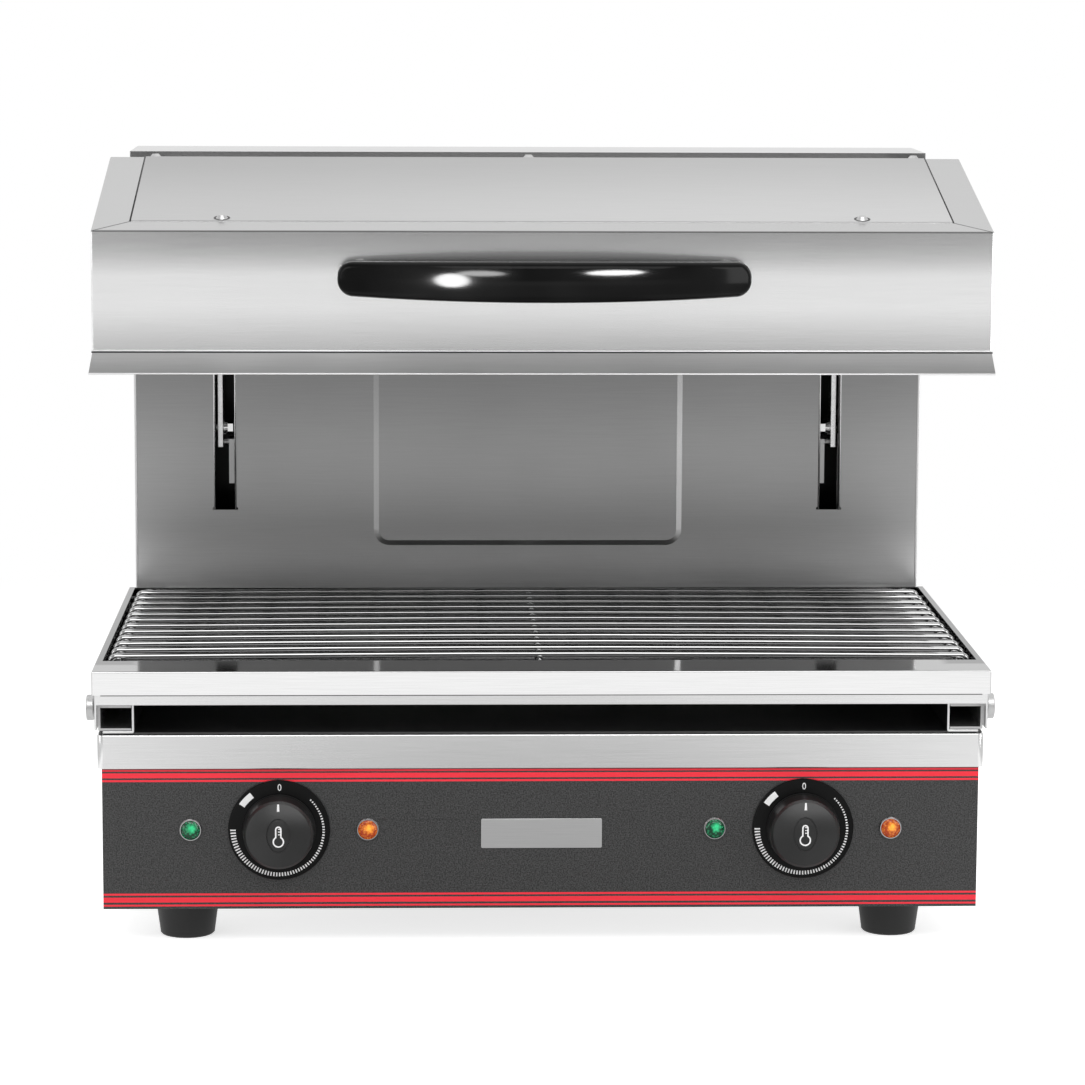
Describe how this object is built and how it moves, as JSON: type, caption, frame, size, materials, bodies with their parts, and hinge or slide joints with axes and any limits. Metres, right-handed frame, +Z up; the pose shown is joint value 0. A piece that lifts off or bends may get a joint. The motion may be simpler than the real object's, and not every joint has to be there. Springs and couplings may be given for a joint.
{
  "type": "lifting grill",
  "caption": "Electric lifting grill: a stainless base with two dials and a wire-racked drip pan, a rear column, and a heated head that rises and falls on rollers.",
  "frame": {"origin": "on the ground, under the middle of the whole grill", "axes": "+X to the right seen from the front, -Y to the front, +Z up"},
  "size_m": [0.6102, 0.4925, 0.5254],
  "materials": {
    "brushed_stainless": "brushed",
    "bright_stainless": "polished",
    "chrome_plate": "polished",
    "zinc_steel": "satin",
    "aluminised_steel": "satin",
    "dark_fascia": "matte",
    "printed_dial": "satin",
    "black_knob": "satin",
    "black_rubber": "matte",
    "black_grip": "gloss",
    "green_lens": "gloss",
    "amber_lens": "gloss",
    "heater_sheath": "matte",
    "grey_casing": "matte",
    "white_ceramic": "satin"
  },
  "bodies": {
    "grill_base": {"base_pan": "zinc_steel", "foot_front_left": "black_rubber", "foot_front_right": "black_rubber", "foot_rear_left": "black_rubber", "foot_rear_right": "black_rubber", "side_panel_left": "brushed_stainless", "side_panel_right": "brushed_stainless", "front_fascia": "dark_fascia", "trim_band": "brushed_stainless", "deck_plate": "brushed_stainless", "splash_panel": "brushed_stainless", "rear_cover": "brushed_stainless", "column_cap": "brushed_stainless", "dial_rings": "printed_dial", "thermostats": "grey_casing", "strut_feet": "zinc_steel", "light_rings": "chrome_plate", "green_lenses": "green_lens", "amber_lenses": "amber_lens", "terminal_block": "white_ceramic", "cable_gland": "black_knob", "slide_rail_left": "zinc_steel", "slide_rail_right": "zinc_steel", "lift_channel_left": "zinc_steel", "lift_channel_right": "zinc_steel", "strut_cylinder_left": "grey_casing", "strut_cylinder_right": "grey_casing", "base_screws": "chrome_plate"},
    "lifting_head": {"head_shell": "brushed_stainless", "top_panel": "brushed_stainless", "head_back": "brushed_stainless", "flared_lip": "bright_stainless", "handle": "black_grip", "reflector": "aluminised_steel", "element_bars": "zinc_steel", "heating_element_left": "heater_sheath", "heating_element_right": "heater_sheath", "axle_bolts": "chrome_plate", "carriage_low_bar": "zinc_steel", "carriage_high_bar": "zinc_steel", "lift_arm_left": "zinc_steel", "lift_arm_right": "zinc_steel", "strut_rod_left": "chrome_plate", "strut_rod_right": "chrome_plate", "top_screws": "chrome_plate"},
    "tray": {"drip_pan": "bright_stainless", "tray_frame": "brushed_stainless", "runner_left": "zinc_steel", "runner_right": "zinc_steel"},
    "rack": {"wire_rack": "chrome_plate"},
    "roller_low_left": {"roller_low_left": "black_knob"},
    "roller_low_right": {"roller_low_right": "black_knob"},
    "roller_high_left": {"roller_high_left": "black_knob"},
    "roller_high_right": {"roller_high_right": "black_knob"},
    "thumbscrew_left": {"thumbscrew_left": "chrome_plate"},
    "dial_left": {"knob_left": "black_knob", "knob_shaft_left": "zinc_steel"},
    "thumbscrew_right": {"thumbscrew_right": "chrome_plate"},
    "dial_right": {"knob_right": "black_knob", "knob_shaft_right": "zinc_steel"}
  },
  "joints": [
    {"name": "head_lift", "type": "slide", "parent": "grill_base", "child": "lifting_head", "axis": [0, 0, 1], "range_m": [-0.14, 0]},
    {"name": "roller_low_left_spin", "type": "hinge", "parent": "lifting_head", "child": "roller_low_left", "pos_m": [0, 0.176, 0.311], "axis": [1, 0, 0], "continuous": true},
    {"name": "roller_low_right_spin", "type": "hinge", "parent": "lifting_head", "child": "roller_low_right", "pos_m": [0, 0.176, 0.311], "axis": [1, 0, 0], "continuous": true},
    {"name": "roller_high_left_spin", "type": "hinge", "parent": "lifting_head", "child": "roller_high_left", "pos_m": [0, 0.176, 0.436], "axis": [1, 0, 0], "continuous": true},
    {"name": "roller_high_right_spin", "type": "hinge", "parent": "lifting_head", "child": "roller_high_right", "pos_m": [0, 0.176, 0.436], "axis": [1, 0, 0], "continuous": true},
    {"name": "tray_slide", "type": "slide", "parent": "grill_base", "child": "tray", "axis": [0, -1, 0], "range_m": [0, 0.25]},
    {"name": "rack_lift_out", "type": "slide", "parent": "tray", "child": "rack", "axis": [0, 0, 1], "range_m": [0, 0.03]},
    {"name": "thumbscrew_left_turn", "type": "hinge", "parent": "tray", "child": "thumbscrew_left", "pos_m": [-0.2985, -0.184, 0.164], "axis": [1, 0, 0], "continuous": true},
    {"name": "dial_left_turn", "type": "hinge", "parent": "grill_base", "child": "dial_left", "pos_m": [-0.1765, -0.2, 0.0815], "axis": [0, -1, 0], "range_deg": [-300, 0]},
    {"name": "thumbscrew_right_turn", "type": "hinge", "parent": "tray", "child": "thumbscrew_right", "pos_m": [0.2985, -0.184, 0.164], "axis": [1, 0, 0], "continuous": true},
    {"name": "dial_right_turn", "type": "hinge", "parent": "grill_base", "child": "dial_right", "pos_m": [0.1765, -0.2, 0.0815], "axis": [0, -1, 0], "range_deg": [-300, 0]}
  ],
  "couplings": [
    {"joint": "roller_low_left_spin", "follows": "head_lift", "rad_per_m": -90.909},
    {"joint": "roller_low_right_spin", "follows": "head_lift", "rad_per_m": -90.909},
    {"joint": "roller_high_left_spin", "follows": "head_lift", "rad_per_m": 90.909},
    {"joint": "roller_high_right_spin", "follows": "head_lift", "rad_per_m": 90.909}
  ]
}
